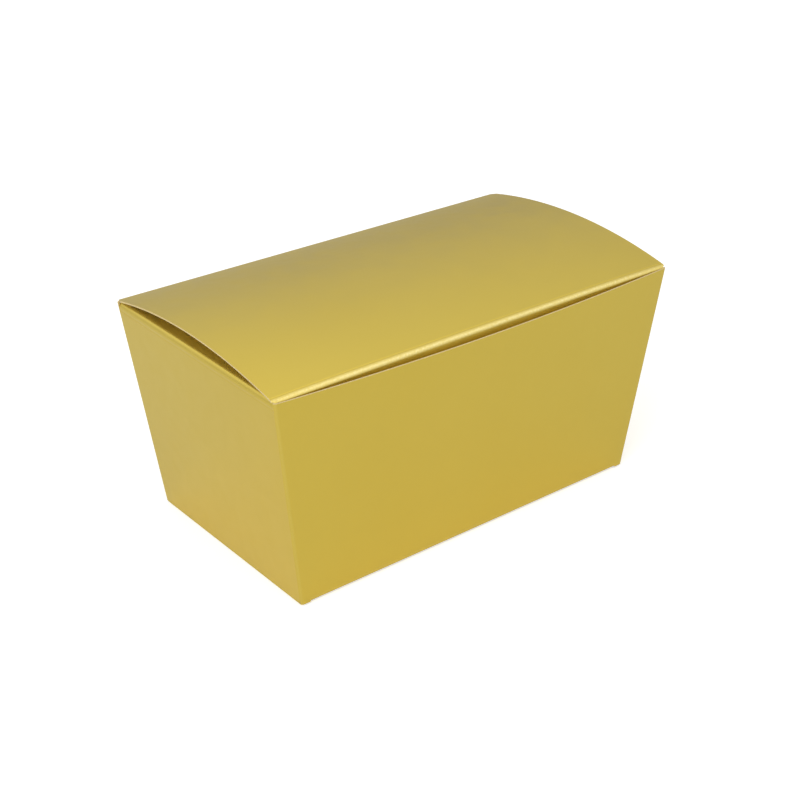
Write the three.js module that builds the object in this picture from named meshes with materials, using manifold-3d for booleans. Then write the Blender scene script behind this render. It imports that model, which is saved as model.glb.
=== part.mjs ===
// A candy box of the ballotin kind: one blank of foil-faced carton board, folded and glued, with tapered
// walls, an arched lid that tucks in behind the bowed front panel, dust flaps and an automatic base.
// Millimetres. X runs along the long side, Y from front to back and Z up. The origin lies on the ground,
// under the middle of the outline. Each part is one panel of the blank, from crease to crease.
import * as THREE from "three";
import { mergeVertices } from "three/addons/utils/BufferGeometryUtils.js";
import Module from "manifold-3d";

// Overall sizes, over the outside of the erected box
const rimLength = 145;
const rimWidth = 79;
const baseLength = 126.5;
const baseWidth = 71.5;
const rimHeight = 68.7;
const endRimDrop = 0.7;
const frontEdgeDrop = 1.4;
const frontBow = 3;

// Board and creases, with radii over the outside of the board
const board = 0.45;
const uprightRadius = 2;
const rimRadius = 1.5;
const footRadius = 0.9;
const creaseSlit = 0.2;
const hingeStandoff = 0.1;

// Lid and tuck flap
const lidRise = 4.7;
const lidFrontDrop = 0.5;
const lidEndInset = 0.3;
const lidNickRun = 2.5;
const tuckClearance = 0.15;
const tuckDepth = 15;
const tuckLean = THREE.MathUtils.degToRad(13);
const tuckSideTaper = THREE.MathUtils.degToRad(12);
const tuckCornerRadius = 7;

// Dust flaps
const dustLength = 38;
const dustDroop = THREE.MathUtils.degToRad(8);
const dustFrontSetback = 2.5;
const dustBackSetback = 3;
const dustFrontTaper = THREE.MathUtils.degToRad(4);
const dustBackTaper = THREE.MathUtils.degToRad(9);
const dustCornerRadius = 8;

// Glued side seam at the right back corner
const seamWidth = 14;
const glueLine = 0.1;
const seamSetback = 0.8;
const seamEndInset = 5;
const seamTaper = THREE.MathUtils.degToRad(20);

// Automatic base: end flaps below, long flaps on them, and a tongue of each long flap on the other
const endFlapDepth = 32;
const endFlapTaper = THREE.MathUtils.degToRad(17);
const endFlapCornerRadius = 5;
const glueCornerSetback = 1.5;
const glueCornerNose = 0.9;
const longFlapEndGap = 3;
const longFlapTaper = THREE.MathUtils.degToRad(6);
const meetingGap = 0.3;
const tongueReach = 9;
const tongueRamp = 2.4;
const tongueEndInset = 12;
const tongueCornerRadius = 5;
const hookGap = 0.6;

// Levels of the base, where the end flaps lie lowest, then the long flaps, then their tongues
const longFlapLevel = board;
const tongueLevel = 2 * board;
const baseTop = 3 * board;

// Facets along curves, and the distance below which points are one
const arcSteps = 5;
const archSteps = 20;
const bowSteps = 20;
const bowRows = 10;
const roundingSteps = 6;
const weld = 1e-4;

const rightAngle = Math.PI / 2;
const endLean = Math.atan((rimLength - baseLength) / 2 / rimHeight);
const longLean = Math.atan((rimWidth - baseWidth) / 2 / rimHeight);
const halfLength = (z) => baseLength / 2 + z * Math.tan(endLean);
const halfWidth = (z) => baseWidth / 2 + z * Math.tan(longLean);

const foil = { color: 0xc9b250, roughness: 0.38, metalness: 0.85 };
const shadedFoil = { color: 0xbfa94d, roughness: 0.42, metalness: 0.85 };

// Sections through a crease lie in a plane with h outwards from the middle of the box and z up.
// A face is given by the angle of its outward normal above the horizontal.
const direction = (angle) => new THREE.Vector2(Math.cos(angle), Math.sin(angle));

// Centre of the roll that joins two faces which would meet at a sharp corner.
function rollCentre(corner, angleA, angleB, radius) {
  const a = direction(angleA);
  const b = direction(angleB);
  return corner.clone().addScaledVector(a.clone().add(b), -radius / (1 + a.dot(b)));
}

// A crease: the roll between two faces, slit in the middle, where one panel ends and the next starts.
function crease(corner, angleA, angleB, radius) {
  const centre = rollCentre(corner, angleA, angleB, radius);
  const middle = (angleA + angleB) / 2;
  const slit = Math.asin(creaseSlit / 2 / radius);
  const stretch = (from, to) =>
    Array.from({ length: arcSteps + 1 }, (_, i) => {
      const angle = THREE.MathUtils.lerp(from, to, i / arcSteps);
      const outer = centre.clone().addScaledVector(direction(angle), radius);
      return { outer, angle };
    });
  return {
    before: stretch(angleA, middle - slit),
    after: stretch(middle + slit, angleB),
    pivot: centre.clone().addScaledVector(direction(middle), radius + hingeStandoff),
    reach: radius * Math.tan((angleB - angleA) / 2),
  };
}

// The inner face lies one board's thickness behind the outer one.
const innerPoint = ({ outer, angle }) => outer.clone().addScaledVector(direction(angle), -board);

// A closed sheet of board from rows of points on its outer and its inner face.
function boardGeometry(outerRows, innerRows) {
  const rows = outerRows.length;
  const columns = outerRows[0].length;
  const points = [...outerRows.flat(), ...innerRows.flat()];
  const at = (face, r, c) => (face * rows + r) * columns + c;
  const index = [];
  const quad = (a, b, c, d) => index.push(a, b, c, a, c, d);
  for (let r = 0; r < rows - 1; r += 1) {
    for (let c = 0; c < columns - 1; c += 1) {
      quad(at(0, r, c), at(0, r, c + 1), at(0, r + 1, c + 1), at(0, r + 1, c));
      quad(at(1, r, c), at(1, r + 1, c), at(1, r + 1, c + 1), at(1, r, c + 1));
    }
  }
  const lastRow = rows - 1;
  const lastColumn = columns - 1;
  for (let c = 0; c < lastColumn; c += 1) {
    quad(at(0, 0, c), at(1, 0, c), at(1, 0, c + 1), at(0, 0, c + 1));
    quad(at(0, lastRow, c), at(0, lastRow, c + 1), at(1, lastRow, c + 1), at(1, lastRow, c));
  }
  for (let r = 0; r < lastRow; r += 1) {
    quad(at(0, r, 0), at(0, r + 1, 0), at(1, r + 1, 0), at(1, r, 0));
    quad(at(0, r, lastColumn), at(1, r, lastColumn), at(1, r + 1, lastColumn), at(0, r + 1, lastColumn));
  }
  if (signedVolume(points, index) < 0) index.reverse();
  const geometry = new THREE.BufferGeometry().setFromPoints(points);
  geometry.setIndex(index);
  return facetted(geometry);
}

function signedVolume(points, index) {
  let volume = 0;
  for (let i = 0; i < index.length; i += 3) {
    const [a, b, c] = [points[index[i]], points[index[i + 1]], points[index[i + 2]]];
    volume += a.dot(b.clone().cross(c)) / 6;
  }
  return volume;
}

function facetted(geometry) {
  const flat = geometry.index ? geometry.toNonIndexed() : geometry;
  flat.computeVertexNormals();
  return flat;
}

function panel(name, geometry, look = foil) {
  const mesh = new THREE.Mesh(geometry, new THREE.MeshStandardMaterial(look));
  mesh.name = name;
  return mesh;
}

// Walls. Each has its outward direction, the direction along it, and its half sizes at a height.
const walls = {
  front: { outward: [0, -1], along: [1, 0], own: halfWidth, other: halfLength, lean: longLean },
  back: { outward: [0, 1], along: [-1, 0], own: halfWidth, other: halfLength, lean: longLean },
  left: { outward: [-1, 0], along: [0, -1], own: halfLength, other: halfWidth, lean: endLean },
  right: { outward: [1, 0], along: [0, 1], own: halfLength, other: halfWidth, lean: endLean },
};

// The long walls stand on the end flaps of the base, one board's thickness above the ground.
const footHeight = { front: longFlapLevel, back: longFlapLevel, left: 0, right: 0 };

// The seam tab lies inside the right end panel, so the upright crease that it comes from is set in.
const seamShift = board / Math.cos(endLean) + glueLine;

const inBox = (wall, own, along, z) =>
  new THREE.Vector3(
    wall.outward[0] * own + wall.along[0] * along,
    wall.outward[1] * own + wall.along[1] * along,
    z,
  );

// Places across a wall, from one side edge to the other. A turn counts how far round the upright
// crease a place lies, where 1 is the crease's middle.
function wallPlaces(straightSteps, creaseBefore, creaseAfter) {
  const places = [];
  for (let i = arcSteps; i > 0 && creaseBefore; i -= 1) places.push({ side: -1, turn: i / arcSteps });
  for (let i = 0; i <= straightSteps; i += 1) places.push({ share: i / straightSteps });
  for (let i = 1; i <= arcSteps && creaseAfter; i += 1) places.push({ side: 1, turn: i / arcSteps });
  return places;
}

// A point of a wall's face, from its section point (own, z) and its place across the wall.
function wallPoint(wall, section, place, setIn, bow) {
  const { x: own, y: z } = section;
  const centreOwn = wall.own(z) - uprightRadius;
  const ends = [-1, 1].map((side, i) => side * (wall.other(z) - setIn[i]));
  if (place.turn === undefined) {
    const along = THREE.MathUtils.lerp(ends[0], ends[1], place.share);
    const middleness = 1 - (2 * place.share - 1) ** 2;
    return inBox(wall, own + bow(z) * middleness, along, z);
  }
  const radius = own - centreOwn;
  const angle = place.turn * (rightAngle / 2 - Math.asin(creaseSlit / 2 / radius));
  const centreAlong = place.side < 0 ? ends[0] : ends[1];
  const along = centreAlong + place.side * radius * Math.sin(angle);
  return inBox(wall, centreOwn + radius * Math.cos(angle), along, z);
}

function wallGeometry(wall, sections, places, setIn, bow = () => 0) {
  const face = (pick) =>
    sections.map((section) => places.map((place) => wallPoint(wall, pick(section), place, setIn, bow)));
  return boardGeometry(face((section) => section.outer), face(innerPoint));
}

const wallAngle = (wall) => -wall.lean;
const cornerAt = (wall, z) => new THREE.Vector2(wall.own(z), z);

// The crease at a wall's foot, between its base flap, which faces down, and the wall.
const footCrease = (side) =>
  crease(cornerAt(walls[side], footHeight[side]), -rightAngle, wallAngle(walls[side]), footRadius);

// Arch of the lid: an arc through the rear and the front crease, seen from the left end.
const rearCorner = new THREE.Vector2(halfWidth(rimHeight), rimHeight);
const frontInnerFace = (z) => halfWidth(z) - board / Math.cos(longLean);
const frontCornerHeight = rimHeight - lidFrontDrop;
const frontCorner = new THREE.Vector2(-(frontInnerFace(frontCornerHeight) - tuckClearance), frontCornerHeight);
const chord = rearCorner.clone().sub(frontCorner);
const archRadius = (chord.length() ** 2 / 4 + lidRise ** 2) / (2 * lidRise);
const archHalfAngle = Math.asin(chord.length() / 2 / archRadius);
const chordTilt = chord.angle();
const archCentre = frontCorner
  .clone()
  .add(rearCorner)
  .multiplyScalar(0.5)
  .addScaledVector(direction(chordTilt + rightAngle), lidRise - archRadius);
const rearNormal = chordTilt + rightAngle - archHalfAngle;
const frontNormal = chordTilt + rightAngle + archHalfAngle;

const rearCrease = crease(rearCorner, wallAngle(walls.back), rearNormal, rimRadius);
const tuckFace = Math.PI + tuckLean;
const tuckCrease = crease(frontCorner, frontNormal, tuckFace, rimRadius);

const endCornerHeight = rimHeight - endRimDrop;
const dustFace = rightAngle + dustDroop;
const endCrease = crease(cornerAt(walls.left, endCornerHeight), wallAngle(walls.left), dustFace, rimRadius);

// A flap: sections from its crease outwards, each with the two ends of its row.
function flapGeometry(place, rows) {
  const face = (pick) => rows.map((row) => row.ends.map((end) => place(pick(row), end)));
  return boardGeometry(face((row) => row.outer), face(innerPoint));
}

// Distances along a flap, close together where its corners are rounded.
function roundedDistances(length, radius) {
  const distances = [0];
  for (let i = 0; i <= roundingSteps; i += 1) {
    distances.push(length - radius + radius * Math.sin((i / roundingSteps) * rightAngle));
  }
  return distances;
}

// How far a rounded corner draws in the side edge at a distance along the flap.
function drawnIn(distance, length, radius) {
  const past = Math.max(0, distance - (length - radius));
  return radius - Math.sqrt(Math.max(0, radius ** 2 - past ** 2));
}

function frontPanel() {
  const wall = walls.front;
  const foot = footCrease("front").after;
  const footTop = foot[foot.length - 1].outer.y;
  const edgeHeight = rimHeight - frontEdgeDrop;
  const sections = [...foot];
  for (let i = 1; i <= bowRows; i += 1) {
    const z = THREE.MathUtils.lerp(footTop, edgeHeight, i / bowRows);
    sections.push({ outer: cornerAt(wall, z), angle: wallAngle(wall) });
  }
  const bow = (z) => frontBow * Math.max(0, (z - footTop) / (edgeHeight - footTop)) ** 2;
  const setIn = [uprightRadius, uprightRadius];
  return panel("front_panel", wallGeometry(wall, sections, wallPlaces(bowSteps, true, true), setIn, bow));
}

function backPanel() {
  const sections = [...footCrease("back").after, ...rearCrease.before];
  const setIn = [uprightRadius + seamShift, uprightRadius];
  return panel("back_panel", wallGeometry(walls.back, sections, wallPlaces(1, true, true), setIn));
}

function endPanel(name, side, setIn, creaseAfter) {
  const sections = [...footCrease(side).after, ...endCrease.before];
  const places = wallPlaces(1, true, creaseAfter);
  return panel(name, wallGeometry(walls[side], sections, places, setIn));
}

// The seam tab goes on from the back panel round its upright crease, inside the right end panel.
function seamTab() {
  const wall = { ...walls.right, own: (z) => halfLength(z) - seamShift };
  const quarter = Array.from({ length: arcSteps + 1 }, (_, i) => ({ side: 1, turn: 1 - i / arcSteps, run: 0 }));
  const places = [...quarter, { run: seamWidth }];
  const edge = (low) =>
    places.map(({ run }) => {
      const inset = seamEndInset + run * Math.tan(seamTaper);
      return low ? inset : endCornerHeight - inset;
    });
  const bottom = edge(true);
  const top = edge(false);
  const point = (section, place) => {
    if (place.turn > 0) return wallPoint(wall, section, place, [0, uprightRadius], () => 0);
    return inBox(wall, section.x, wall.other(section.y) - uprightRadius - place.run, section.y);
  };
  const section = (z) => ({ outer: cornerAt(wall, z), angle: wallAngle(wall) });
  const row = (heights, pick) => places.map((place, i) => point(pick(section(heights[i])), place));
  const outer = [row(bottom, (s) => s.outer), row(top, (s) => s.outer)];
  const inner = [row(bottom, innerPoint), row(top, innerPoint)];
  return panel("seam_tab", boardGeometry(outer, inner), shadedFoil);
}

const acrossLid = (section, end) => new THREE.Vector3(end, section.x, section.y);
const lidHalf = halfLength(rimHeight) - lidEndInset;
const rearHalf = halfLength(rimHeight) - uprightRadius - seamShift;
const tuckHalf = halfLength(frontCornerHeight) - uprightRadius;

// The lid is nicked at both ends of its rear crease, to clear the rounded upright corners.
function lidRow(section) {
  const share = Math.min(1, (rearCorner.x - section.outer.x) / lidNickRun);
  const half = THREE.MathUtils.lerp(rearHalf, lidHalf, share);
  return { ...section, ends: [-half, half] };
}

function lidPanel() {
  const startAngle = rearNormal + lidNickRun / archRadius;
  const endAngle = frontNormal - tuckCrease.reach / archRadius;
  const arch = [];
  for (let i = 0; i < archSteps; i += 1) {
    const angle = THREE.MathUtils.lerp(startAngle, endAngle, i / archSteps);
    const outer = archCentre.clone().addScaledVector(direction(angle), archRadius);
    arch.push({ outer, angle });
  }
  const sections = [...rearCrease.after, ...arch, ...tuckCrease.before];
  return panel("lid_panel", flapGeometry(acrossLid, sections.map(lidRow)));
}

function tuckFlap() {
  const roll = tuckCrease.after.map((s) => ({ ...s, ends: [-tuckHalf, tuckHalf] }));
  const start = roll[roll.length - 1].outer;
  const downwards = direction(tuckFace + rightAngle);
  const length = tuckDepth - tuckCrease.reach;
  const rows = roundedDistances(length, tuckCornerRadius).slice(1).map((distance) => {
    const drawn = distance * Math.tan(tuckSideTaper) + drawnIn(distance, length, tuckCornerRadius);
    const outer = start.clone().addScaledVector(downwards, distance);
    return { outer, angle: tuckFace, ends: [-(tuckHalf - drawn), tuckHalf - drawn] };
  });
  return panel("tuck_flap", flapGeometry(acrossLid, [...roll, ...rows]));
}

function dustFlap(name, outwards) {
  const rootFront = -(halfWidth(endCornerHeight) - uprightRadius - dustFrontSetback);
  const rootBack = halfWidth(endCornerHeight) - uprightRadius - dustBackSetback;
  const place = (section, end) => new THREE.Vector3(outwards * section.x, end, section.y);
  const roll = endCrease.after.map((s) => ({ ...s, ends: [rootFront, rootBack] }));
  const start = roll[roll.length - 1].outer;
  const inwards = direction(dustFace + rightAngle);
  const length = dustLength - endCrease.reach;
  const rows = roundedDistances(length, dustCornerRadius).slice(1).map((distance) => {
    const drawn = drawnIn(distance, length, dustCornerRadius);
    const front = rootFront + distance * Math.tan(dustFrontTaper) + drawn;
    const back = rootBack - distance * Math.tan(dustBackTaper) - drawn;
    const outer = start.clone().addScaledVector(inwards, distance);
    return { outer, angle: dustFace, ends: [front, back] };
  });
  return panel(name, flapGeometry(place, [...roll, ...rows]), shadedFoil);
}

// Rows of a base flap from the middle of its foot crease, round the roll and on along the ground.
function footRoll(side) {
  return footCrease(side).before.slice().reverse();
}

// The diagonal crease of the base starts in the corner of the box and runs at 45 degrees.
const diagonalSlit = creaseSlit / Math.SQRT2;

function leftBaseFlap() {
  const start = baseLength / 2;
  const corner = baseWidth / 2;
  const ends = (outer) => {
    const inwards = start - outer.x;
    const glued = -corner + Math.max(uprightRadius, inwards + diagonalSlit);
    const open = corner - uprightRadius - inwards * Math.tan(endFlapTaper);
    return [glued, open - drawnIn(inwards, endFlapDepth, endFlapCornerRadius)];
  };
  const roll = footRoll("left").map((s) => ({ ...s, ends: ends(s.outer) }));
  const rows = [uprightRadius, ...roundedDistances(endFlapDepth, endFlapCornerRadius).slice(1)].map((run) => {
    const outer = new THREE.Vector2(start - run, 0);
    return { outer, angle: -rightAngle, ends: ends(outer) };
  });
  const place = (section, end) => new THREE.Vector3(-section.x, end, section.y);
  return flapGeometry(place, [...roll, ...rows]);
}

// The corner beyond the diagonal crease, glued to the underside of the long flap.
function leftGlueCorner() {
  const corner = baseWidth / 2;
  const first = glueCornerSetback + diagonalSlit + glueCornerNose;
  const distances = [first, ...roundedDistances(endFlapDepth, endFlapCornerRadius).slice(1)];
  const rows = distances.map((run) => {
    const outer = new THREE.Vector2(baseLength / 2 - run, 0);
    const wallSide = -corner + glueCornerSetback + drawnIn(run, endFlapDepth, endFlapCornerRadius);
    return { outer, angle: -rightAngle, ends: [wallSide, -corner + run - diagonalSlit] };
  });
  const place = (section, end) => new THREE.Vector3(-section.x, end, section.y);
  return flapGeometry(place, rows);
}

const wasm = await Module();
wasm.setup();

function solid(geometry) {
  const bare = geometry.clone();
  bare.deleteAttribute("normal");
  bare.deleteAttribute("uv");
  const merged = mergeVertices(bare, weld);
  const mesh = new wasm.Mesh({
    numProp: 3,
    vertProperties: new Float32Array(merged.attributes.position.array),
    triVerts: new Uint32Array(merged.index.array),
  });
  return new wasm.Manifold(mesh);
}

function geometryOf(manifold) {
  const mesh = manifold.getMesh();
  const geometry = new THREE.BufferGeometry();
  geometry.setAttribute("position", new THREE.BufferAttribute(mesh.vertProperties, 3));
  geometry.setIndex(new THREE.BufferAttribute(mesh.triVerts, 1));
  return facetted(geometry);
}

// A flat plate of board from a plan outline, with its underside at a height.
function plate(outline, bottom, thickness = board) {
  const geometry = new THREE.ExtrudeGeometry(outline, { depth: thickness, bevelEnabled: false });
  return geometry.translate(0, 0, bottom);
}

// The long flap in front: its roll, its flat plate, and a tongue that steps up onto the other long flap.
function frontBaseFlap() {
  const y = (inwards) => -baseWidth / 2 + inwards;
  const rootHalf = baseLength / 2 - longFlapEndGap;
  const sideAt = (inwards) => rootHalf - inwards * Math.tan(longFlapTaper);
  const seam = baseWidth / 2 - meetingGap;
  const rampEnd = seam;
  const rampStart = rampEnd - tongueRamp;
  const tip = baseWidth / 2 + tongueReach;

  const roll = footRoll("front");
  const rollEnd = baseWidth / 2 - roll[roll.length - 1].outer.x;
  const flatRootPoint = new THREE.Vector2(baseWidth / 2 - rollEnd - footRadius, longFlapLevel);
  const flatRoot = { outer: flatRootPoint, angle: -rightAngle };
  const rollRows = [...roll, flatRoot].map((s) => ({ ...s, ends: [-sideAt(rollEnd), sideAt(rollEnd)] }));
  const place = (section, end) => new THREE.Vector3(end, -section.x, section.y);
  const rolled = solid(flapGeometry(place, rollRows));

  const outline = new THREE.Shape();
  outline.moveTo(-sideAt(rollEnd), y(rollEnd));
  outline.lineTo(sideAt(rollEnd), y(rollEnd));
  outline.lineTo(sideAt(seam), y(seam));
  outline.lineTo(hookGap, y(seam));
  outline.lineTo(-hookGap, y(rampStart));
  outline.lineTo(-sideAt(rampStart), y(rampStart));
  const flat = solid(plate(outline, longFlapLevel));

  const step = new THREE.Shape();
  step.moveTo(y(rampStart - footRadius), longFlapLevel);
  step.lineTo(y(rampStart), longFlapLevel);
  step.lineTo(y(rampEnd), tongueLevel);
  step.lineTo(y(tip), tongueLevel);
  step.lineTo(y(tip), baseTop);
  step.lineTo(y(rampEnd), baseTop);
  step.lineTo(y(rampStart), tongueLevel);
  step.lineTo(y(rampStart - footRadius), tongueLevel);
  const band = new THREE.ExtrudeGeometry(step, { depth: baseLength / 2, bevelEnabled: false });
  band.rotateY(rightAngle).rotateX(rightAngle).translate(-baseLength / 2, 0, 0);

  const r = tongueCornerRadius;
  const outer = -baseLength / 2 + tongueEndInset;
  const tongue = new THREE.Shape();
  tongue.moveTo(-sideAt(rampStart), y(rampStart - footRadius));
  tongue.lineTo(-hookGap, y(rampStart - footRadius));
  tongue.lineTo(-hookGap, y(seam));
  tongue.lineTo(-hookGap, y(tip - r));
  tongue.quadraticCurveTo(-hookGap, y(tip), -hookGap - r, y(tip));
  tongue.lineTo(outer + r, y(tip));
  tongue.quadraticCurveTo(outer, y(tip), outer, y(tip - r));
  tongue.lineTo(-sideAt(rampStart), y(rampStart));
  const cutter = solid(plate(tongue, 0, baseTop + board));
  const raised = solid(band).intersect(cutter);
  return geometryOf(rolled.add(flat).add(raised));
}

const turnedRound = (geometry) => geometry.clone().rotateZ(Math.PI);

// A pivot in a crease: the group turns about it, and its meshes keep their places in the box.
function pivotAt(point, ...objects) {
  const group = new THREE.Group();
  group.position.copy(point);
  for (const object of objects) {
    if (object.isMesh) object.geometry.translate(-point.x, -point.y, -point.z);
    else object.position.sub(point);
    group.add(object);
  }
  return group;
}

const tuckPivot = new THREE.Vector3(0, tuckCrease.pivot.x, tuckCrease.pivot.y);
const lidPivot = new THREE.Vector3(0, rearCrease.pivot.x, rearCrease.pivot.y);
const leftPivot = new THREE.Vector3(-endCrease.pivot.x, 0, endCrease.pivot.y);
const rightPivot = new THREE.Vector3(endCrease.pivot.x, 0, endCrease.pivot.y);

const frontBase = frontBaseFlap();
const leftBase = leftBaseFlap();
const leftGlue = leftGlueCorner();

const tuck = pivotAt(tuckPivot, tuckFlap());
const lid = pivotAt(lidPivot, lidPanel(), tuck);
const leftDust = pivotAt(leftPivot, dustFlap("left_dust_flap", -1));
const rightDust = pivotAt(rightPivot, dustFlap("right_dust_flap", 1));

const box = new THREE.Group();
box.add(
  frontPanel(),
  backPanel(),
  endPanel("left_end_panel", "left", [uprightRadius, uprightRadius], true),
  endPanel("right_end_panel", "right", [uprightRadius, seamSetback], false),
  seamTab(),
  panel("left_base_flap", leftBase, shadedFoil),
  panel("right_base_flap", turnedRound(leftBase), shadedFoil),
  panel("left_glue_corner", leftGlue, shadedFoil),
  panel("right_glue_corner", turnedRound(leftGlue), shadedFoil),
  panel("front_base_flap", frontBase, shadedFoil),
  panel("back_base_flap", turnedRound(frontBase), shadedFoil),
  lid,
  leftDust,
  rightDust,
);
// The front panel's bow widens the outline to the front only.
box.position.y = frontBow / 2;

export const pivots = { lid, tuck, leftDust, rightDust };
export default box;
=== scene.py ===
import math

import bmesh
import bpy
from mathutils import Matrix, Vector


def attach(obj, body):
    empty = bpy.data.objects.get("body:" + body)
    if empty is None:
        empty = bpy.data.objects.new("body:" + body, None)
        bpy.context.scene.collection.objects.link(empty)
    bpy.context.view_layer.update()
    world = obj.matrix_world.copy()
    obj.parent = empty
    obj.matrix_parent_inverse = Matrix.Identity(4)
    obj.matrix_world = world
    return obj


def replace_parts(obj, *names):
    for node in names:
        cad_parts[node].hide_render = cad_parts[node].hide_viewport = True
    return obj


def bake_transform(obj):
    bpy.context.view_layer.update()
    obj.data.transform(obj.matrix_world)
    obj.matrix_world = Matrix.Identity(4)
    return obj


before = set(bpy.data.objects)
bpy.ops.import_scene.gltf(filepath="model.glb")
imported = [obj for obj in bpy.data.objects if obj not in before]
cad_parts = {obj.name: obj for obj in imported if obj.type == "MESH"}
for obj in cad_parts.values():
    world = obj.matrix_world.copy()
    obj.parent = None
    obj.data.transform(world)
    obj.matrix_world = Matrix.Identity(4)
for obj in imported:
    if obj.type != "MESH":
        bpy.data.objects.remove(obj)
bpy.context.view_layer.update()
print("frame loaded:", len(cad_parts), "panels of board")

# A ballotin: one blank of gold-faced carton board, folded and glued. Sizes are in millimetres and
# over the outside.
mm = 0.001
rightAngle = math.pi / 2
box = {
    "baseLength": 125.9,
    "baseWidth": 71.5,
    "rimLength": 144.4,
    "rimWidth": 79.0,
    "rimHeight": 68.7,
    "middleY": 1.5,  # the front panel bows out, so the middle of the walls lies behind the origin
    "board": 0.45,
    "uprightRadius": 0.9,
    "glueLine": 0.1,
}
uprightRadius = box["uprightRadius"]
endLean = math.atan((box["rimLength"] - box["baseLength"]) / 2 / box["rimHeight"])
longLean = math.atan((box["rimWidth"] - box["baseWidth"]) / 2 / box["rimHeight"])


def halfLength(z):
    return box["baseLength"] / 2 + z * math.tan(endLean)


def halfWidth(z):
    return box["baseWidth"] / 2 + z * math.tan(longLean)


# Sections across a crease are drawn outwards and up. A face is given by the angle of its normal
# above the horizontal.
def direction(angle):
    return Vector((math.cos(angle), math.sin(angle)))


# A flap begins with a lead, a flat strip before the roll of its crease. The score line is pressed
# into the middle of it.
crease = {"lead": 0.6, "score": 0.09, "scoreCuts": 3}


def rollBetween(corner, startAngle, endAngle, radius, lead=crease["lead"]):
    corner, a, b = Vector(corner), direction(startAngle), direction(endAngle)
    centre = corner - (a + b) * radius / (1 + a.dot(b))
    along = 1 if endAngle > startAngle else -1
    return {
        "corner": corner,
        "centre": centre,
        "radius": radius,
        "start": centre + a * radius,
        "end": centre + b * radius,
        "startAngle": startAngle,
        "turn": endAngle - startAngle,
        "before": direction(startAngle + rightAngle) * -along,  # from its start, along the lead
        "reach": radius * math.tan(abs(endAngle - startAngle) / 2),
        "lead": lead,
    }


# Modelling in edit mode. What an operator acts on is picked by its place.
near = 0.02  # how far a part may be from the spot that picks it
clear = 1.0  # more than any error in a place, less than any flap
cornerSegments = 8


def middle(element):
    corners = [element] if isinstance(element, bmesh.types.BMVert) else element.verts
    return sum((corner.co for corner in corners), Vector()) / len(corners) / mm


def pick(kind, test):
    bpy.ops.mesh.select_mode(type=kind)
    bpy.ops.mesh.select_all(action="DESELECT")
    shape = bmesh.from_edit_mesh(bpy.context.edit_object.data)
    for element in {"VERT": shape.verts, "EDGE": shape.edges, "FACE": shape.faces}[kind]:
        if test(element):
            element.select_set(True)
    shape.select_flush_mode()
    bmesh.update_edit_mesh(bpy.context.edit_object.data)


def move(x=0.0, y=0.0, z=0.0):
    bpy.ops.transform.translate(value=(x * mm, y * mm, z * mm))


def widen(share):
    bpy.ops.transform.resize(value=(share, 1, 1), center_override=(0, 0, 0))


def extrude(x=0.0, y=0.0, z=0.0):
    bpy.ops.mesh.extrude_edges_move(TRANSFORM_OT_translate={"value": (x * mm, y * mm, z * mm)})


def cut(point, normal, test):
    pick("FACE", test)
    bpy.ops.mesh.bisect(plane_co=Vector(point) * mm, plane_no=normal)


def roundCorners(radius, test):
    pick("VERT", test)
    bpy.ops.mesh.bevel(offset=radius * mm, affect="VERTICES", segments=cornerSegments)


def isRim(edge):
    return len(edge.link_faces) == 1


# Rolls the picked edge round a crease or an arch that runs along X.
def rollOn(steps, turn, centre):
    bpy.ops.mesh.spin(
        steps=steps, angle=-turn, center=Vector((0, *centre)) * mm, axis=(1, 0, 0)
    )


# A sheet of board starts as the strip before a crease, with the score line pressed into it. It is
# modelled along X, with the outside of the box towards +Y, and leaves the edge picked that goes on
# into the roll.
def startSheet(name, roll, left, right):
    lead = roll["lead"]
    centre = roll["start"] + roll["before"] * lead / 2
    turn = roll["startAngle"] + rightAngle
    place = Vector(((left + right) / 2, *centre)) * mm
    bpy.ops.object.select_all(action="DESELECT")
    bpy.ops.mesh.primitive_plane_add(size=1, location=place, rotation=(turn, 0, 0))
    piece = bpy.context.object
    piece.name = piece.data.name = name
    piece.scale = ((right - left) * mm, lead * mm, 1)
    bpy.ops.object.transform_apply(location=True, rotation=True, scale=True)
    bpy.ops.object.mode_set(mode="EDIT")
    pick("EDGE", lambda edge: abs(middle(edge).x) > right / 2)
    bpy.ops.mesh.subdivide(number_cuts=crease["scoreCuts"])
    pick("VERT", lambda corner: (middle(corner).yz - centre).length < near)
    move(0, *(direction(roll["startAngle"]) * -crease["score"]))
    pick("EDGE", lambda edge: (middle(edge).yz - roll["start"]).length < near)
    return piece


fullSwell = 1.6  # a bulge is full where this times the share of the flap's length reaches 1


# Curls a flat flap that begins at the end of a roll: its free edge ends up inwards by the curl.
# The bulge swells the middle of its width outwards.
def curlFlap(piece, roll, flap, length, half):
    face = direction(roll["startAngle"] + roll["turn"])
    along = direction(roll["startAngle"] + roll["turn"] + rightAngle)

    def run(spot):
        return (spot.yz - roll["end"]).dot(along)

    for i in range(1, flap["rows"]):
        spot = roll["end"] + along * length * i / flap["rows"]
        cut((0, *spot), (0, *along), lambda part: run(middle(part)) > 0)
    bpy.ops.object.mode_set(mode="OBJECT")
    for vertex in piece.data.vertices:
        spot = vertex.co / mm
        share = run(spot) / length
        if share > 0:
            across = min(1, abs(spot.x) / half)
            swell = flap["bulge"] * (1 - across**2)
            swell *= math.sin(min(1, fullSwell * share) * rightAngle)
            vertex.co.yz += face * (swell - flap["curl"] * share**2) * mm
    bpy.ops.object.mode_set(mode="EDIT")


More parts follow.
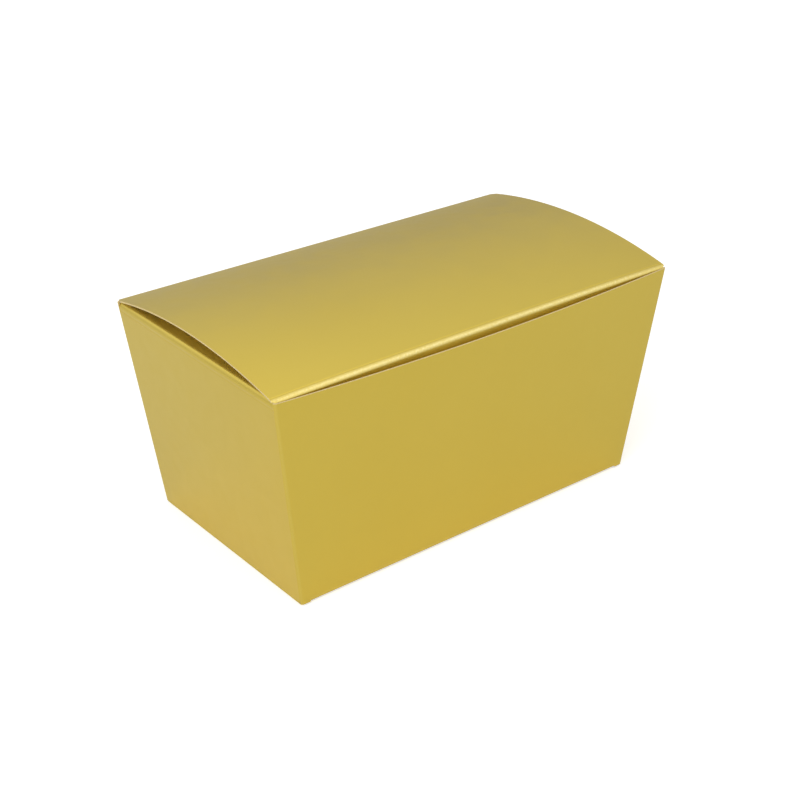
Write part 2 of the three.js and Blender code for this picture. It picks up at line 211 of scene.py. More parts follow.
# How near each point lies to the middle of a crease, from 0 on the flat board to 1, for the foil's
# wear there and for a highlight painted along the crease's roll
def markCreases(piece, creases):
    values = []
    for vertex in piece.data.vertices:
        nearness = 0.0
        for point, along, reach, least, wearAndHighlight in creases:
            away = vertex.co / mm - Vector(point)
            away -= away.project(Vector(along))
            nearness = max(nearness, wearAndHighlight * min(1, (reach - away.length) / (reach - least)))
        values.append(nearness)
    marks = piece.data.attributes.new("creaseWearAndHighlight", "FLOAT", "POINT")
    marks.data.foreach_set("value", values)


# the last value sets how strongly the crease is paled: foil wear and a painted highlight together
def creaseOf(roll, wearAndHighlight):
    least = (roll["corner"] - roll["centre"]).length - roll["radius"]
    return ((0, *roll["corner"]), (1, 0, 0), roll["reach"], least, wearAndHighlight)


smoothAngle = math.radians(35)


# Turns a modelled sheet into place, faces it outwards and gives it the board's thickness, with the
# foil outside, the white face inside and the cut edge round its rim.
def finishBoard(piece, turn, creases):
    bpy.ops.object.mode_set(mode="OBJECT")
    markCreases(piece, creases)
    piece.rotation_euler.z = turn
    piece.location.y = box["middleY"] * mm
    bpy.ops.object.transform_apply(location=True, rotation=True, scale=True)
    heart = Vector((0, box["middleY"], box["rimHeight"] / 2)) * mm
    faces = piece.data.polygons
    outwards = sum(face.area * face.normal.dot(face.center - heart) for face in faces)
    if outwards < 0:
        bpy.ops.object.mode_set(mode="EDIT")
        bpy.ops.mesh.select_all(action="SELECT")
        bpy.ops.mesh.flip_normals()
        bpy.ops.object.mode_set(mode="OBJECT")
    for finish in finishes:
        piece.data.materials.append(finish)
    thick = piece.modifiers.new("board", "SOLIDIFY")
    thick.thickness = box["board"] * mm
    thick.offset = -1
    thick.use_even_offset = True
    thick.material_offset = 1  # to the second of the finishes, inside
    thick.material_offset_rim = 2
    bpy.ops.object.modifier_apply(modifier=thick.name)
    bpy.ops.object.shade_smooth_by_angle(angle=smoothAngle)
    flat = piece.modifiers.new("flat panels", "WEIGHTED_NORMAL")
    flat.keep_sharp = True
    bpy.ops.object.modifier_apply(modifier=flat.name)
    return piece


# Materials
def linear(colour):
    channels = [int(colour[i : i + 2], 16) / 255 for i in (1, 3, 5)]
    return [c / 12.92 if c <= 0.04045 else ((c + 0.055) / 1.055) ** 2.4 for c in channels] + [1]


# The scale of a noise whose clouds are that many millimetres wide
def scaleOf(size):
    return 1 / (size * mm)


def addNode(tree, kind, inputs=None, **settings):
    node = tree.nodes.new("ShaderNode" + kind)
    for name, value in settings.items():
        setattr(node, name, value)
    for socket, value in (inputs or {}).items():
        if isinstance(value, bpy.types.NodeSocket):
            tree.links.new(value, node.inputs[socket])
        else:
            node.inputs[socket].default_value = value
    return node


# Sockets of the Mix node, which go by number because several share a name
mixShare, mixLow, mixHigh, mixLowColour, mixHighColour, mixedColour = 0, 2, 3, 6, 7, 2


def startMaterial(name):
    material = bpy.data.materials.new(name)
    material.use_nodes = True
    tree = material.node_tree
    return material, tree, tree.nodes["Principled BSDF"]


def linkFinish(tree, shader, colour, rough, normal):
    for socket, value in (("Base Color", colour), ("Roughness", rough), ("Normal", normal)):
        tree.links.new(value, shader.inputs[socket])


# Metallised polyester film, lacquered gold and laminated to the board with a satin face. It
# mirrors softly, and the fibres below print through it as a fine grain and a slow waviness.
foil = {
    "gold": "#D4BC55",
    "deepGold": "#D1B84F",
    # pale gold on the creases: partly foil stretched and worn there, partly a painted highlight along
    # the rolls
    "creaseWearAndHighlightGold": "#F2E6AE",
    "roughness": (0.30, 0.36),
    "creaseRoughness": 0.44,
    "crackSize": 0.6,
    "toneSize": 45,
    "formationSize": 5,
    "formationRange": (0.3, 0.7),
    "waveSize": 16,
    "waveHeight": 0.022,
    "grainSize": 0.7,  # real grain is about 0.1 mm, drawn coarser so that it shows
    "grainHeight": 0.0022,
}


def satinGoldFoil():
    material, tree, shader = startMaterial("satin gold foil laminate")
    place = addNode(tree, "TexCoord").outputs["Object"]
    tone = addNode(
        tree, "TexNoise", {"Vector": place, "Scale": scaleOf(foil["toneSize"]), "Detail": 2.0}
    )
    gold = addNode(
        tree,
        "Mix",
        {
            mixShare: tone.outputs["Fac"],
            mixLowColour: linear(foil["gold"]),
            mixHighColour: linear(foil["deepGold"]),
        },
        data_type="RGBA",
    )
    wearAndHighlight = addNode(tree, "Attribute", attribute_name="creaseWearAndHighlight")
    cracks = addNode(
        tree, "TexNoise", {"Vector": place, "Scale": scaleOf(foil["crackSize"]), "Detail": 3.0}
    )
    wornAndHighlight = addNode(
        tree, "Math", {0: wearAndHighlight.outputs["Fac"], 1: cracks.outputs["Fac"]}, operation="MULTIPLY"
    )
    # the creases are paled towards the crease gold: partly worn, stretched foil, partly a painted
    # highlight along the rolls
    colour = addNode(
        tree,
        "Mix",
        {
            mixShare: wornAndHighlight.outputs[0],
            mixLowColour: gold.outputs[mixedColour],
            mixHighColour: linear(foil["creaseWearAndHighlightGold"]),
        },
        data_type="RGBA",
    )
    formation = addNode(
        tree, "TexNoise", {"Vector": place, "Scale": scaleOf(foil["formationSize"]), "Detail": 3.0}
    )
    satin = addNode(
        tree,
        "MapRange",
        {
            "Value": formation.outputs["Fac"],
            "From Min": foil["formationRange"][0],
            "From Max": foil["formationRange"][1],
            "To Min": foil["roughness"][0],
            "To Max": foil["roughness"][1],
        },
    )
    rough = addNode(
        tree,
        "Mix",
        {mixShare: wornAndHighlight.outputs[0], mixLow: satin.outputs[0], mixHigh: foil["creaseRoughness"]},
    )
    wave = addNode(
        tree, "TexNoise", {"Vector": place, "Scale": scaleOf(foil["waveSize"]), "Detail": 1.0}
    )
    waved = addNode(
        tree, "Bump", {"Height": wave.outputs["Fac"], "Distance": foil["waveHeight"] * mm}
    )
    grain = addNode(
        tree, "TexNoise", {"Vector": place, "Scale": scaleOf(foil["grainSize"]), "Detail": 2.0}
    )
    grained = addNode(
        tree,
        "Bump",
        {
            "Height": grain.outputs["Fac"],
            "Distance": foil["grainHeight"] * mm,
            "Normal": waved.outputs[0],
        },
    )
    shader.inputs["Metallic"].default_value = 1
    linkFinish(tree, shader, colour.outputs[mixedColour], rough.outputs[0], grained.outputs[0])
    return material


# Coated white face of folding boxboard, inside the box: matt, with cloudy fibres that show in
# raking light
inside = {
    "white": "#F2EBD8",
    "shade": "#EBE2CB",
    "roughness": (0.58, 0.72),
    "cloudSize": 3.5,
    "fibreSize": 0.6,
    "fibreHeight": 0.012,
}


def whiteBoardInside():
    material, tree, shader = startMaterial("white folding boxboard")
    place = addNode(tree, "TexCoord").outputs["Object"]
    cloud = addNode(
        tree, "TexNoise", {"Vector": place, "Scale": scaleOf(inside["cloudSize"]), "Detail": 4.0}
    )
    colour = addNode(
        tree,
        "Mix",
        {
            mixShare: cloud.outputs["Fac"],
            mixLowColour: linear(inside["white"]),
            mixHighColour: linear(inside["shade"]),
        },
        data_type="RGBA",
    )
    fibre = addNode(
        tree, "TexNoise", {"Vector": place, "Scale": scaleOf(inside["fibreSize"]), "Detail": 4.0}
    )
    bump = addNode(
        tree, "Bump", {"Height": fibre.outputs["Fac"], "Distance": inside["fibreHeight"] * mm}
    )
    rough = addNode(
        tree,
        "MapRange",
        {
            "Value": cloud.outputs["Fac"],
            "To Min": inside["roughness"][0],
            "To Max": inside["roughness"][1],
        },
    )
    linkFinish(tree, shader, colour.outputs[mixedColour], rough.outputs[0], bump.outputs[0])
    return material


# The die-cut edge shows the board's core: cream pulp, torn a little rough by the knife, with a
# hint of the foil.
cutEdge = {
    "pulp": "#DBC68F",
    "stain": "#BFA56C",
    "stainRange": (0.42, 0.75),
    "roughness": (0.7, 0.9),
    "speckSize": 0.35,
    "fibreHeight": 0.03,
}


def cutBoardEdge():
    material, tree, shader = startMaterial("die-cut board edge")
    place = addNode(tree, "TexCoord").outputs["Object"]
    speck = addNode(
        tree, "TexNoise", {"Vector": place, "Scale": scaleOf(cutEdge["speckSize"]), "Detail": 3.0}
    )
    share = addNode(
        tree,
        "MapRange",
        {
            "Value": speck.outputs["Fac"],
            "From Min": cutEdge["stainRange"][0],
            "From Max": cutEdge["stainRange"][1],
        },
    )
    colour = addNode(
        tree,
        "Mix",
        {
            mixShare: share.outputs[0],
            mixLowColour: linear(cutEdge["pulp"]),
            mixHighColour: linear(cutEdge["stain"]),
        },
        data_type="RGBA",
    )
    bump = addNode(
        tree, "Bump", {"Height": speck.outputs["Fac"], "Distance": cutEdge["fibreHeight"] * mm}
    )
    rough = addNode(
        tree,
        "MapRange",
        {
            "Value": speck.outputs["Fac"],
            "To Min": cutEdge["roughness"][0],
            "To Max": cutEdge["roughness"][1],
        },
    )
    linkFinish(tree, shader, colour.outputs[mixedColour], rough.outputs[0], bump.outputs[0])
    return material


finishes = [satinGoldFoil(), whiteBoardInside(), cutBoardEdge()]
print("materials made:", ", ".join(finish.name for finish in finishes))

# The lid, arched between its crease on the back panel and the crease of the tuck flap
lid = {
    "rise": 4.7,
    "frontDrop": 0.5,
    "endInset": 0.1,
    "nickRun": 0.8,
    "rollRadius": 0.5,
    "rollSteps": 10,
    "archSteps": 48,
    "columns": 24,
    "cornerSag": 0.45,  # the front corners hang below the middle of the front edge
    "sagPower": 4,
    "wearAndHighlight": 0.4,
}
tuck = {
    "clearance": 0.15,  # behind the front panel
    "rollRadius": 1.5,
    "depth": 15.0,
    "lean": math.radians(4),
    "curl": 2.3,
    "bulge": 1.25,  # its middle follows the bowed front panel
    "rows": 14,
    "sideInset": 0.65,
    "sideTaper": math.radians(12),
    "cornerRadius": 7.0,
    # its crease is paled most: worn foil and a painted highlight along the roll
    "wearAndHighlight": 1.0,
}
rearCorner = Vector((halfWidth(box["rimHeight"]), box["rimHeight"]))
frontHeight = box["rimHeight"] - lid["frontDrop"]
tuckBehind = box["board"] / math.cos(longLean) + tuck["clearance"]
frontCorner = Vector((tuckBehind - halfWidth(frontHeight), frontHeight))
chord = rearCorner - frontCorner
chordMiddle = (frontCorner + rearCorner) / 2
chordTilt = math.atan2(chord.y, chord.x)
archRadius = (chord.length**2 / 4 + lid["rise"] ** 2) / (2 * lid["rise"])
archHalf = math.asin(chord.length / 2 / archRadius)
archCentre = chordMiddle + direction(chordTilt + rightAngle) * (lid["rise"] - archRadius)
rearNormal = chordTilt + rightAngle - archHalf
frontNormal = chordTilt + rightAngle + archHalf
rearRoll = rollBetween(rearCorner, -longLean, rearNormal, lid["rollRadius"])
tuckRoll = rollBetween(frontCorner, frontNormal, math.pi + tuck["lean"], tuck["rollRadius"])
seamShift = box["board"] / math.cos(endLean) + box["glueLine"]  # the tab lies inside the end panel
rearHalf = halfLength(box["rimHeight"]) - uprightRadius
lidHalf = halfLength(box["rimHeight"]) - lid["endInset"]


def cutColumns():
    for i in range(1, lid["columns"]):
        cut(((2 * i / lid["columns"] - 1) * lidHalf, 0, 0), (1, 0, 0), lambda part: True)


def sagCorners(piece):
    bpy.ops.object.mode_set(mode="OBJECT")
    for vertex in piece.data.vertices:
        spot = vertex.co / mm
        forward = min(1, (rearCorner.x - spot.y) / (rearCorner.x - frontCorner.x))
        sag = lid["cornerSag"] * (spot.x / lidHalf) ** lid["sagPower"]
        vertex.co.z -= sag * math.sin(forward * rightAngle) * mm


def makeLid():
    piece = startSheet("lid", rearRoll, -rearHalf, rearHalf - seamShift)
    rollOn(lid["rollSteps"], rearRoll["turn"], rearRoll["centre"])
    ends = rearRoll["reach"] + tuckRoll["reach"] + tuckRoll["lead"]
    rollOn(lid["archSteps"], 2 * archHalf - ends / archRadius, archCentre)
    nick = rearCorner.x - lid["nickRun"]
    pick("VERT", lambda corner: middle(corner).y < nick and corner.co.x < 0)
    move(x=rearHalf - lidHalf)
    pick("VERT", lambda corner: middle(corner).y < nick and corner.co.x > 0)
    move(x=lidHalf + seamShift - rearHalf)
    cutColumns()
    sagCorners(piece)
    return finishBoard(piece, 0, [creaseOf(rearRoll, lid["wearAndHighlight"])])


def makeTuckFlap():
    halfRoll = lid["rollSteps"] // 2
    tuckHalf = halfLength(frontHeight) - tuck["sideInset"]
    length = tuck["depth"] - tuckRoll["reach"]
    piece = startSheet("tuck_flap_sheet", tuckRoll, -lidHalf, lidHalf)
    rollOn(halfRoll, tuckRoll["turn"] / 2, tuckRoll["centre"])
    widen(tuckHalf / lidHalf)
    rollOn(halfRoll, tuckRoll["turn"] / 2, tuckRoll["centre"])
    extrude(0, *(direction(math.pi + tuck["lean"] + rightAngle) * length))
    widen(1 - length * math.tan(tuck["sideTaper"]) / tuckHalf)
    tip = frontHeight - length + clear
    roundCorners(tuck["cornerRadius"], lambda corner: middle(corner).z < tip)
    cutColumns()
    curlFlap(piece, tuckRoll, tuck, length, tuckHalf)
    sagCorners(piece)
    return finishBoard(piece, 0, [creaseOf(tuckRoll, tuck["wearAndHighlight"])])


lidSheet = makeLid()
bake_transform(lidSheet)
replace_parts(lidSheet, "lid_panel")
tuckSheet = makeTuckFlap()
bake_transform(tuckSheet)
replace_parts(tuckSheet, "tuck_flap")
print("lid and tuck flap folded")

# Dust flaps, on the end panels and under the lid. The back end of each is set back and tapered
# more than the front.
dust = {
    "length": 38.0,
    "curl": 4.6,
    "bulge": 2.4,  # it springs up a little under the arch of the lid
    "rows": 24,
    "shoulder": 0.1,
    "shoulderRun": 3.0,
    "frontSetback": 3.6,
    "backSetback": 4.1,
    "frontTaper": math.radians(4),
    "backTaper": math.radians(9),
    "cornerRadius": 8.0,
    "rimDrop": 0.7,
    "slope": 0.3 / 38,  # its crease falls a little towards the front, as the lid's corner does
    "rollRadius": 1.6,
    "rollSteps": 12,
    "lead": 1.2,
    "wearAndHighlight": 0.1,
}
dustHeight = box["rimHeight"] - dust["rimDrop"]
dustHalf = halfWidth(dustHeight) - uprightRadius
dustRoll = rollBetween(
    (halfLength(dustHeight), dustHeight), -endLean, rightAngle, dust["rollRadius"], dust["lead"]
)


def makeDustFlap(name, turn, frontSide):
    halfRoll = dust["rollSteps"] // 2
    length = dust["length"] - dustRoll["reach"]
    piece = startSheet(name, dustRoll, -dustHalf, dustHalf)
    rollOn(halfRoll, dustRoll["turn"] / 2, dustRoll["centre"])

    def shiftEnds(front, back, test):
        pick("VERT", lambda corner: test(corner) and corner.co.x * frontSide > 0)
        move(-frontSide * front)
        pick("VERT", lambda corner: test(corner) and corner.co.x * frontSide < 0)
        move(frontSide * back)
        pick("VERT", test)
        bpy.ops.mesh.select_mode(type="EDGE")

    turned = dustRoll["startAngle"] + dustRoll["turn"] / 2
    top = dustRoll["centre"] + direction(turned) * dust["rollRadius"]
    shoulder, run = dust["shoulder"], dust["shoulderRun"]
    shiftEnds(shoulder, shoulder, lambda corner: (middle(corner).yz - top).length < near)
    rollOn(halfRoll, dustRoll["turn"] / 2, dustRoll["centre"])
    extrude(y=-run)
    neck = dustRoll["end"].x - run + near
    setbacks = (dust["frontSetback"] - shoulder, dust["backSetback"] - shoulder)
    shiftEnds(*setbacks, lambda corner: middle(corner).y < neck)
    extrude(y=run - length)
    tip = dustRoll["corner"].x - length
    tapers = (length * math.tan(dust["frontTaper"]), length * math.tan(dust["backTaper"]))
    shiftEnds(*tapers, lambda corner: middle(corner).y < tip)
    roundCorners(dust["cornerRadius"], lambda corner: middle(corner).y < tip)
    cutColumns()
    curlFlap(piece, dustRoll, dust, length, dustHalf)
    bpy.ops.object.mode_set(mode="OBJECT")
    for vertex in piece.data.vertices:
        vertex.co.z -= dust["slope"] * frontSide * vertex.co.x
    return finishBoard(piece, turn, [creaseOf(dustRoll, dust["wearAndHighlight"])])


for side, turn, sign in (("left", rightAngle, -1), ("right", -rightAngle, 1)):
    flap = makeDustFlap(side + "_dust_flap_sheet", turn, sign)
    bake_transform(flap)
    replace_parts(flap, side + "_dust_flap")
print("dust flaps folded")

# The walls, one strip from the right end panel's free edge round to the seam tab
walls = {
    "low": 0.5,
    "frontDrop": 1.4,
    "backDrop": 0.45,
    "bow": 1.5,
    "dip": 1.0,  # of the front panel's top edge in the middle
    "bowRows": 12,
    "bowColumns": 24,
    "rollSegments": 6,
    "crest": 0.41,  # from a corner line to the board rolled inside it, as a share of the radius
    "wearAndHighlight": 0.1,
    "seamWidth": 14.0,
    "seamSetback": 0.8,
    "seamRoll": 2.6,
    "seamInset": 5.0,
}
foot = {"rollRadius": 0.9, "rollSteps": 6, "longSetback": 3.0, "wearAndHighlight": 0.3}
longCorner = (halfWidth(box["board"]), box["board"])
longFoot = rollBetween(longCorner, -longLean, -rightAngle, foot["rollRadius"])
endFoot = rollBetween((halfLength(0), 0), -endLean, -rightAngle, foot["rollRadius"])
longFootHalf = halfLength(0) - foot["longSetback"]
wallTop = box["rimHeight"]
backTop = wallTop - walls["backDrop"]  # of the corners beside the lid's crease
frontTop = wallTop - walls["frontDrop"]

# How squarely a face looks along an axis. The facets of the rolled uprights look along none, or
# lie beyond the ends of the flaps.
squarely = 0.9
longSquarely = 0.99
endSquarely = 0.98


def stripEnd(roll):
    return (roll["start"] + roll["before"] * roll["lead"]).y


def isLong(face):
    return abs(face.normal.y) > longSquarely


def isBack(face):
    return face.normal.y > longSquarely


def isFront(face):
    return face.normal.y < -longSquarely


def isEnd(face):
    return abs(face.normal.x) > endSquarely


def startWalls():
    low = walls["low"]
    bpy.ops.object.select_all(action="DESELECT")
    bpy.ops.mesh.primitive_cube_add(size=1, location=(0, 0, (low + wallTop) / 2 * mm))
    piece = bpy.context.object
    piece.name = piece.data.name = "walls"
    piece.scale = (2 * halfLength(low) * mm, 2 * halfWidth(low) * mm, (wallTop - low) * mm)
    bpy.ops.object.transform_apply(location=True, rotation=True, scale=True)
    bpy.ops.object.mode_set(mode="EDIT")
    pick("FACE", lambda face: face.normal.z > squarely)
    flare = (halfLength(wallTop) / halfLength(low), halfWidth(wallTop) / halfWidth(low), 1)
    bpy.ops.transform.resize(value=flare, center_override=(0, 0, wallTop * mm))
    pick("FACE", lambda face: abs(face.normal.z) > squarely)
    bpy.ops.mesh.delete(type="ONLY_FACE")
    return piece


# Parts the walls at the right back corner, and runs the back panel on into the seam tab.
def openSeam():
    def ofRightEnd(face):
        return face.normal.x > squarely

    def ofBack(face):
        return face.normal.y > squarely

    def atSeam(corner):
        return corner.co.x > 0 and corner.co.y > 0

    pick("FACE", ofRightEnd)
    bpy.ops.mesh.split()
    pick("VERT", lambda corner: corner.co.x > 0 and corner.co.y < 0)
    bpy.ops.mesh.remove_doubles(threshold=near * mm)
    pick("VERT", lambda corner: atSeam(corner) and all(map(ofRightEnd, corner.link_faces)))
    move(y=-walls["seamSetback"])
    pick("VERT", lambda corner: atSeam(corner) and all(map(ofBack, corner.link_faces)))
    move(x=-seamShift)
    pick("EDGE", lambda edge: isRim(edge) and ofBack(edge.link_faces[0])
         and all(map(atSeam, edge.verts)))
    extrude(y=-walls["seamRoll"])
    extrude(y=walls["seamRoll"] - uprightRadius - walls["seamWidth"])

    def onTab(corner, run):
        spot = middle(corner)
        shift = halfLength(spot.z) - spot.x
        fromBack = halfWidth(spot.z) - spot.y
        return abs(shift - seamShift) < near and abs(fromBack - run) < near

    farRun = uprightRadius + walls["seamWidth"]
    for run, inset in ((walls["seamRoll"], walls["seamInset"]), (farRun, 2 * walls["seamInset"])):
        for up in (1, -1):
            pick("VERT", lambda corner: onTab(corner, run)
                 and (middle(corner).z - wallTop / 2) * up < 0)
            move(x=up * inset * math.tan(endLean), z=up * inset)


uprightTurn = 1.0  # radians: the walls turn by more at an upright, and the seam tab by less


def rollUprights():
    pick("EDGE", lambda edge: not isRim(edge) and edge.calc_face_angle() > uprightTurn)
    bpy.ops.mesh.bevel(
        offset=uprightRadius * mm, segments=walls["rollSegments"], clamp_overlap=False
    )


# Takes the board away above and below the lines where the flaps' own sheets begin.
def clearForFlaps():
    footLine, dustLine, lidLine = stripEnd(endFoot), stripEnd(dustRoll), stripEnd(rearRoll)
    longLine = stripEnd(longFoot)
    for height, test in (
        (footLine, isEnd),
        (longLine, isLong),
        (lidLine, isBack),
        (backTop, lambda face: middle(face).y > clear and not isBack(face)),
        (frontTop, lambda face: middle(face).y < -clear),
    ):
        cut((0, 0, height), (0, 0, 1), test)
    cut((0, 0, dustLine), (0, -dust["slope"], 1), isEnd)
    for sign in (-1, 1):
        cut((sign * longFootHalf, 0, 0), (1, 0, 0),
            lambda face: isLong(face) and middle(face).z < longLine)

    def isOuterEnd(face, spot):  # and not the seam tab inside it
        return isEnd(face) and halfLength(spot.z) - abs(spot.x) < seamShift / 2

    def ofFlap(face):
        spot = middle(face)
        if isLong(face) and spot.z < longLine:
            return abs(spot.x) < longFootHalf
        if isBack(face):
            return spot.z > lidLine
        if isOuterEnd(face, spot) and abs(spot.y) < dustHalf:
            return spot.z < footLine or spot.z > dustLine + dust["slope"] * spot.y
        return spot.z > (backTop if spot.y > 0 else frontTop)

    pick("FACE", ofFlap)
    bpy.ops.mesh.delete(type="FACE")


def bowFront(piece):
    rows, columns = walls["bowRows"], walls["bowColumns"]
    footLine = stripEnd(longFoot)
    panelHalf = halfLength(frontTop) - uprightRadius
    for i in range(1, rows):
        cut((0, 0, footLine + (frontTop - footLine) * i / rows), (0, 0, 1), isFront)
    for i in range(1, columns):
        cut(((2 * i / columns - 1) * panelHalf, 0, 0), (1, 0, 0), isFront)
    bpy.ops.object.mode_set(mode="OBJECT")
    for vertex in piece.data.vertices:
        spot = vertex.co / mm
        across = spot.x / (halfLength(spot.z) - uprightRadius)
        if spot.y < 0 and abs(across) < 1 and spot.z > footLine:
            share = ((spot.z - footLine) / (frontTop - footLine)) ** 2 * (1 - across**2)
            vertex.co.yz -= Vector((walls["bow"], walls["dip"])) * share * mm
    bpy.ops.object.mode_set(mode="EDIT")


def makeWalls():
    piece = startWalls()
    openSeam()
    rollUprights()
    clearForFlaps()
    bowFront(piece)
    creases = []
    crest = walls["crest"] * uprightRadius
    for x in (-1, 1):
        for y in (-1, 1):
            bottom = Vector((x * halfLength(0), y * halfWidth(0), 0))
            top = Vector((x * halfLength(wallTop), y * halfWidth(wallTop), wallTop))
            creases.append((bottom, top - bottom, uprightRadius, crest, walls["wearAndHighlight"]))
    return finishBoard(piece, 0, creases)


wallSheet = makeWalls()
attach(wallSheet, "box")
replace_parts(wallSheet, "front_panel", "back_panel", "left_end_panel", "right_end_panel", "seam_tab")
print("walls folded")

# The automatic base: end flaps lowest, long flaps on them, and a tongue of each long flap on the
# other
base = {
    "endDepth": 32.0,
    "endTaper": math.radians(17),
    "endCorner": 5.0,
    "glueSetback": 1.5,
    "diagonalHalf": 0.35,
    "diagonalDepth": 0.08,
    "diagonalSegments": 2,  # their shared line is pressed in
    "longTaper": math.radians(6),
    "meetingGap": 0.3,
    "tongueReach": 9.0,
    "tongueRamp": 2.4,
    "tongueInset": 12.0,
    "tongueCorner": 5.0,
    "hookGap": 0.6,
}


def makeEndFlap(name, turn):
    corner = box["baseWidth"] / 2
    halfRoot = corner - uprightRadius
    piece = startSheet(name, endFoot, -halfRoot, halfRoot)
    rollOn(foot["rollSteps"], endFoot["turn"], endFoot["centre"])
    extrude(y=endFoot["reach"] - base["endDepth"])
    tip = halfLength(0) - base["endDepth"] + clear
    pick("VERT", lambda spot: middle(spot).y < tip and spot.co.x < 0)
    move(x=halfRoot - corner + base["glueSetback"])
    pick("VERT", lambda spot: middle(spot).y < tip and spot.co.x > 0)
    move(x=-base["endDepth"] * math.tan(base["endTaper"]))
    roundCorners(base["endCorner"], lambda spot: middle(spot).y < tip)

    # the diagonal crease, beyond which the glue corner is stuck to the long flap
    def onDiagonal(part):
        spot = middle(part)
        return abs(spot.x + spot.y - halfLength(0) + corner) < near and abs(spot.z) < near

    cut((-corner, halfLength(0), 0), (1, 1, 0), lambda face: abs(face.normal.z) > longSquarely)
    pick("EDGE", lambda edge: onDiagonal(edge) and not isRim(edge)
         and edge.calc_length() > clear * mm)
    bpy.ops.mesh.bevel(offset=base["diagonalHalf"] * mm, segments=base["diagonalSegments"])
    pick("VERT", onDiagonal)
    move(z=base["diagonalDepth"])
    return finishBoard(piece, turn, [creaseOf(endFoot, foot["wearAndHighlight"])])


def makeLongFlap(name, turn):
    halfBase = box["baseWidth"] / 2
    rampStart = base["meetingGap"] + base["tongueRamp"]
    piece = startSheet(name, longFoot, -longFootHalf, longFootHalf)
    rollOn(foot["rollSteps"], longFoot["turn"], longFoot["centre"])
    extrude(y=rampStart - longFoot["end"].x)
    farHalf = longFootHalf - (halfBase - rampStart) * math.tan(base["longTaper"])
    widen(farHalf / longFootHalf)
    cut((0, 0, 0), (1, 0, 0), lambda face: middle(face).y < longFoot["end"].x)

    def onRampStart(edge, side):
        spot = middle(edge)
        return isRim(edge) and abs(spot.y - rampStart) < near and spot.x * side > 0

    # the tongue on one side, which ramps up onto the other flap, and a plain edge on the other
    pick("EDGE", lambda edge: onRampStart(edge, 1))
    extrude(y=-base["tongueRamp"], z=box["board"])
    extrude(y=-base["meetingGap"] - base["tongueReach"])
    pick("EDGE", lambda edge: onRampStart(edge, -1))
    extrude(y=-base["tongueRamp"])
    tongueLevel = 1.5 * box["board"]  # halfway between the flap and the tongue

    def atHook(corner, side):
        spot = middle(corner)
        onSide = (spot.z - tongueLevel) * side > 0
        return abs(spot.x) < near and spot.y < rampStart - clear and onSide

    for side in (1, -1):
        pick("VERT", lambda corner: atHook(corner, side))
        move(x=side * base["hookGap"])
    tip = clear - base["tongueReach"]
    pick("VERT", lambda spot: middle(spot).y < tip and middle(spot).x > base["tongueInset"])
    move(x=halfLength(0) - base["tongueInset"] - farHalf)
    roundCorners(base["tongueCorner"], lambda spot: middle(spot).y < tip)
    return finishBoard(piece, turn, [creaseOf(longFoot, foot["wearAndHighlight"])])


for name, turn, nodes in (
    ("left_base_sheet", rightAngle, ("left_base_flap", "left_glue_corner")),
    ("right_base_sheet", -rightAngle, ("right_base_flap", "right_glue_corner")),
):
    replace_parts(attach(makeEndFlap(name, turn), "box"), *nodes)
for name, turn, node in (
    ("front_base_sheet", math.pi, "front_base_flap"),
    ("back_base_sheet", 0, "back_base_flap"),
):
    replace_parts(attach(makeLongFlap(name, turn), "box"), node)
print("base flaps folded")

# Camera, at the photograph's place
view = {
    "place": (-259.8, -320.1, 245.0),
    "heading": 38.97,
    "down": 27.55,
    "roll": 0.277,
    "lens": 68.6,
    "sensor": 36,
    "clipStart": 10,
}
camera = bpy.data.objects.new("camera", bpy.data.cameras.new("camera"))
bpy.context.scene.collection.objects.link(camera)
camera.data.lens = view["lens"]
camera.data.sensor_width = view["sensor"]
camera.data.clip_start = view["clipStart"] * mm
camera.matrix_world = (
    Matrix.Translation(Vector(view["place"]) * mm)
    @ Matrix.Rotation(-math.radians(view["heading"]), 4, "Z")
    @ Matrix.Rotation(math.radians(90 - view["down"]), 4, "X")
    @ Matrix.Rotation(math.radians(view["roll"]), 4, "Z")
)
bpy.context.scene.camera = camera

# A white tent over a pale floor: darkest low at the back, brighter above, to the left and most in
# front. Its levels are strengths, where 1 is white.
studio = {
    "floor": "#E4E4E2",
    "floorRadius": 4000,
    "floorCorners": 96,
    "floorHeight": -0.2,
    "floorRoughness": 0.9,
    "seenLift": 0.51,  # where the camera sees the floor, so that it comes out white
    "mirroredLift": 0.14,  # where the foil mirrors it
    "back": 0.64,
    "rise": 0.8,
    "rightDim": 0.38,
    "rightRange": (0.0, 0.8),  # of a direction's X, from no dimming to all of it
    "front": 0.55,
    "frontRange": (-0.05, -0.6),  # of its Y, from none of the front's light to all of it
    "fill": 0.58,  # share of the tent's light that falls on matt surfaces
}


def makeFloor():
    bpy.ops.object.select_all(action="DESELECT")
    bpy.ops.mesh.primitive_circle_add(
        vertices=studio["floorCorners"],
        radius=studio["floorRadius"] * mm,
        fill_type="NGON",
        location=(0, 0, studio["floorHeight"] * mm),
    )
    floor = bpy.context.object
    floor.name = "floor"
    material, tree, shader = startMaterial("matt paper floor")
    ray = addNode(tree, "LightPath")
    mirrored = addNode(
        tree,
        "Math",
        {0: ray.outputs["Is Glossy Ray"], 1: ray.outputs["Is Transmission Ray"]},
        operation="ADD",
    )
    mirrored = addNode(
        tree, "Math", {0: mirrored.outputs[0], 1: studio["mirroredLift"]}, operation="MULTIPLY"
    )
    lift = addNode(
        tree,
        "Math",
        {0: ray.outputs["Is Camera Ray"], 1: studio["seenLift"], 2: mirrored.outputs[0]},
        operation="MULTIPLY_ADD",
    )
    shader.inputs["Base Color"].default_value = linear(studio["floor"])
    shader.inputs["Roughness"].default_value = studio["floorRoughness"]
    shader.inputs["Specular IOR Level"].default_value = 0.0
    shader.inputs["Emission Color"].default_value = (1, 1, 1, 1)
    tree.links.new(lift.outputs[0], shader.inputs["Emission Strength"])
    floor.data.materials.append(material)


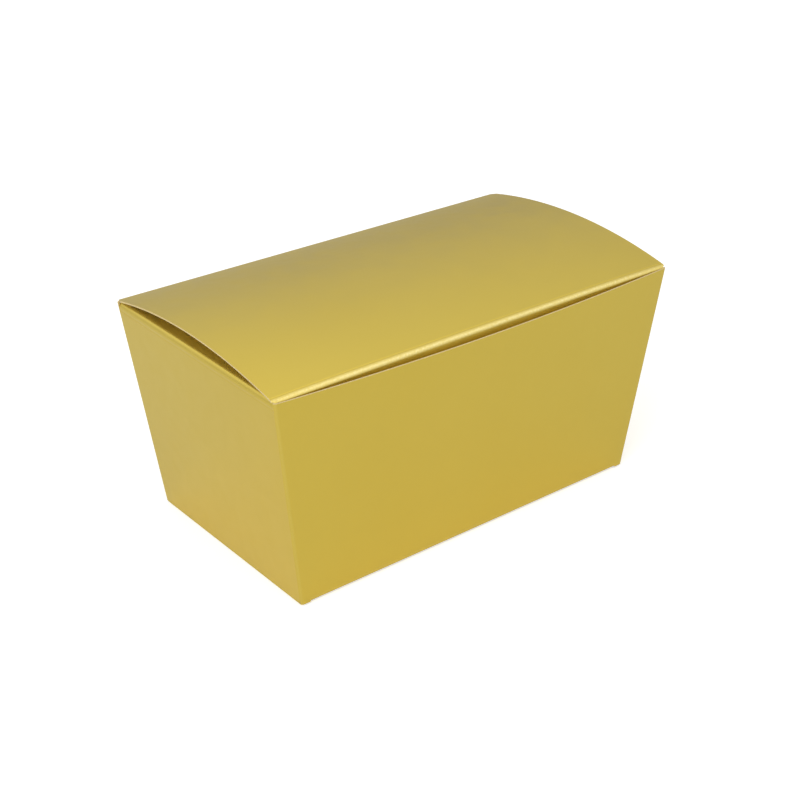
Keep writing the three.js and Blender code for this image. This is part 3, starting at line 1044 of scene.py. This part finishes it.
def makeSky():
    world = bpy.data.worlds.new("studio")
    world.use_nodes = True
    tree = world.node_tree
    look = addNode(tree, "TexCoord")
    way = addNode(tree, "SeparateXYZ", {0: look.outputs["Generated"]})
    height = addNode(tree, "Math", {0: way.outputs["Z"], 1: 0.0}, operation="MAXIMUM")
    glow = addNode(
        tree,
        "Math",
        {0: height.outputs[0], 1: studio["rise"], 2: studio["back"]},
        operation="MULTIPLY_ADD",
    )
    dim = addNode(
        tree,
        "MapRange",
        {
            "Value": way.outputs["X"],
            "From Min": studio["rightRange"][0],
            "From Max": studio["rightRange"][1],
            "To Min": 0.0,
            "To Max": studio["rightDim"],
        },
    )
    glow = addNode(tree, "Math", {0: glow.outputs[0], 1: dim.outputs[0]}, operation="SUBTRACT")
    front = addNode(
        tree,
        "MapRange",
        {
            "Value": way.outputs["Y"],
            "From Min": studio["frontRange"][0],
            "From Max": studio["frontRange"][1],
            "To Min": 0.0,
            "To Max": studio["front"],
        },
        interpolation_type="SMOOTHSTEP",
    )
    glow = addNode(tree, "Math", {0: glow.outputs[0], 1: front.outputs[0]}, operation="ADD")
    fill = addNode(tree, "Math", {0: glow.outputs[0], 1: studio["fill"]}, operation="MULTIPLY")
    ray = addNode(tree, "LightPath")
    level = addNode(
        tree,
        "Mix",
        {
            mixShare: ray.outputs["Is Diffuse Ray"],
            mixLow: glow.outputs[0],
            mixHigh: fill.outputs[0],
        },
    )
    level = addNode(
        tree,
        "Mix",
        {mixShare: ray.outputs["Is Camera Ray"], mixLow: level.outputs[0], mixHigh: 1.0},
    )
    background = tree.nodes["Background"]
    background.inputs["Color"].default_value = (1, 1, 1, 1)
    tree.links.new(level.outputs[0], background.inputs["Strength"])
    bpy.context.scene.world = world


softbox = {"place": (-950, -400, 600), "size": 600, "power": 5.0}  # to the left, turned to the box


def addSoftbox(name):
    lamp = bpy.data.objects.new(name, bpy.data.lights.new(name, "AREA"))
    lamp.data.shape = "SQUARE"
    lamp.data.size = softbox["size"] * mm
    lamp.data.energy = softbox["power"]
    lamp.location = Vector(softbox["place"]) * mm
    lamp.rotation_euler = (-lamp.location).to_track_quat("-Z", "Y").to_euler()
    bpy.context.scene.collection.objects.link(lamp)


makeFloor()
makeSky()
addSoftbox("softbox left")
bpy.context.scene.view_settings.view_transform = "Standard"
print("studio set")
